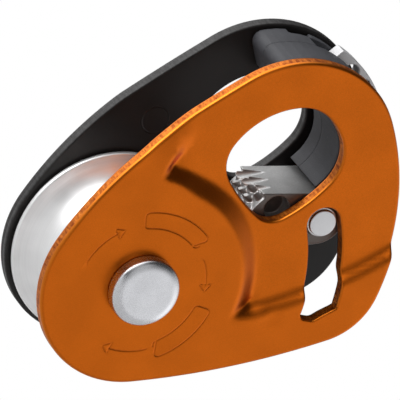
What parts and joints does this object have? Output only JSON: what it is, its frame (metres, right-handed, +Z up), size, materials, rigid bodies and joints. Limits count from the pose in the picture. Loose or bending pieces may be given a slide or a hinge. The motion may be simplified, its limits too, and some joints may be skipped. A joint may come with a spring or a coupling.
{
  "type": "rope pulley",
  "caption": "Compact rope pulley with a grooved ball-bearing sheave, swinging side plate, carabiner eye and a spring-loaded toothed cam that holds the rope.",
  "frame": {"origin": "in the carabiner eye near the middle of its height, straight above the sheave axle and halfway between the side plates' rope channel faces", "axes": "+Z up through the eye away from the sheave, which hangs straight below; Y along the sheave axle, the swinging side plate on the -Y side; +X towards the cam"},
  "size_m": [0.0558, 0.023, 0.0713],
  "materials": {
    "orange_anodised": "satin anodised, fine brushed grain",
    "black_anodised": "satin black anodised",
    "bare_aluminium": "turned, satin",
    "stainless_steel": "satin",
    "cast_stainless": "fine cast, bead blasted",
    "bearing_steel": "polished",
    "spring_wire": "drawn wire",
    "seal_rubber": "matt",
    "charcoal_plastic": "fine grain",
    "acetal": "smooth"
  },
  "bodies": {
    "frame": {"rear_side_plate": "black_anodised", "sheave_axle": "stainless_steel", "spacer_front": "bare_aluminium", "spacer_rear": "bare_aluminium", "swing_washer": "acetal", "swing_bush": "acetal", "bearing_inner_race": "bearing_steel", "body_front_half": "charcoal_plastic", "body_rear_half": "charcoal_plastic", "body_rivet_1": "stainless_steel", "body_rivet_2": "stainless_steel", "cam_axle": "stainless_steel", "cam_spring": "spring_wire", "catch_pin": "stainless_steel", "catch_spring": "spring_wire"},
    "swing_plate": {"swing_side_plate": "orange_anodised"},
    "sheave": {"sheave": "bare_aluminium", "bearing_outer_race": "bearing_steel", "bearing_seal_front": "seal_rubber", "bearing_seal_rear": "seal_rubber"},
    "ball_set": {"bearing_ball_1": "bearing_steel", "bearing_ball_2": "bearing_steel", "bearing_ball_3": "bearing_steel", "bearing_ball_4": "bearing_steel", "bearing_ball_5": "bearing_steel", "bearing_ball_6": "bearing_steel", "bearing_ball_7": "bearing_steel", "bearing_ball_8": "bearing_steel", "bearing_ball_9": "bearing_steel", "bearing_cage": "acetal"},
    "cam": {"cam": "cast_stainless", "cam_bush": "acetal"},
    "catch": {"cam_catch": "cast_stainless"}
  },
  "joints": [
    {"name": "side_plate_swing", "type": "hinge", "parent": "frame", "child": "swing_plate", "pos_m": [0, 0, -0.0324], "axis": [0, -1, 0], "range_deg": [0, 175]},
    {"name": "sheave_spin", "type": "hinge", "parent": "frame", "child": "sheave", "pos_m": [0, 0, -0.0324], "axis": [0, 1, 0], "continuous": true},
    {"name": "ball_set_spin", "type": "hinge", "parent": "frame", "child": "ball_set", "pos_m": [0, 0, -0.0324], "axis": [0, 1, 0], "continuous": true},
    {"name": "cam_pivot", "type": "hinge", "parent": "frame", "child": "cam", "pos_m": [0.0169, 0, -0.0022], "axis": [0, -1, 0], "range_deg": [0, 58], "stiffness_Nm_per_rad": 0.02, "springref_deg": -40.11, "deforming": ["cam_spring"]},
    {"name": "catch_press", "type": "hinge", "parent": "frame", "child": "catch", "pos_m": [0.0182, 0, 0.0076], "axis": [0, -1, 0], "range_deg": [0, 5], "stiffness_Nm_per_rad": 0.05, "springref_deg": -17.19, "deforming": ["catch_spring"]}
  ],
  "couplings": [
    {"joint": "ball_set_spin", "follows": "sheave_spin", "ratio": 0.6}
  ]
}
